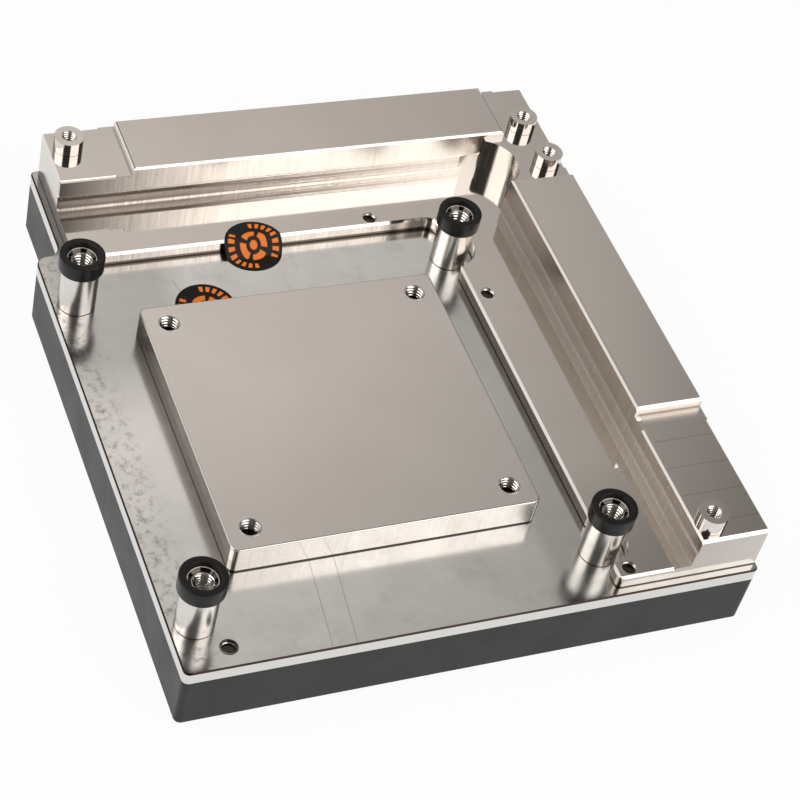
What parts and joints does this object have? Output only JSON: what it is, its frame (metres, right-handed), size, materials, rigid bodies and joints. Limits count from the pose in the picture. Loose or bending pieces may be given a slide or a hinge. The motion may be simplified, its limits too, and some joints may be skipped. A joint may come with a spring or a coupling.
{
  "type": "motherboard water block",
  "caption": "Water block for a motherboard: a black cover and steel plate carrying a square processor pad, an L-shaped power stage block, and standoffs with insulating washers.",
  "frame": {"origin": "middle of the underside of the cover, which is the bottom centre of the bounding box", "axes": "+X along the near edge, +Y away from it along the long side, +Z from the cover up to the side that faces the motherboard"},
  "size_m": [0.108, 0.1212, 0.0268],
  "materials": {
    "cover_plastic": "fine-milled black plastic",
    "base_steel": "mottled semi-gloss, polished edge",
    "nickel_pad": "satin nickel",
    "nickel_block": "bright nickel over fine milling",
    "jet_steel": "rolled sheet",
    "gasket_rubber": "moulded",
    "standoff_nickel": "turned and polished",
    "washer_plastic": "turned black plastic",
    "black_screws": "black oxide",
    "sticker_film": "printed film"
  },
  "bodies": {
    "root": {"top_cover": "cover_plastic", "base_plate": "base_steel", "cpu_cold_plate": "nickel_pad", "power_stage_block": "nickel_block", "jet_plate": "jet_steel", "cover_gasket": "gasket_rubber", "cold_plate_gasket": "gasket_rubber", "power_block_gasket": "gasket_rubber", "cpu_standoff_far_left": "standoff_nickel", "insulating_washer_far_left": "washer_plastic", "cpu_standoff_far_right": "standoff_nickel", "insulating_washer_far_right": "washer_plastic", "cpu_standoff_near_right": "standoff_nickel", "insulating_washer_near_right": "washer_plastic", "cpu_standoff_near_left": "standoff_nickel", "insulating_washer_near_left": "washer_plastic", "power_standoff_far_left": "standoff_nickel", "power_standoff_far_right": "standoff_nickel", "power_standoff_corner": "standoff_nickel", "power_standoff_near_right": "standoff_nickel", "cold_plate_screws": "black_screws", "power_block_screws": "black_screws", "base_plate_screw": "black_screws", "round_sticker_draped": "sticker_film", "round_sticker_curled": "sticker_film"}
  },
  "joints": []
}
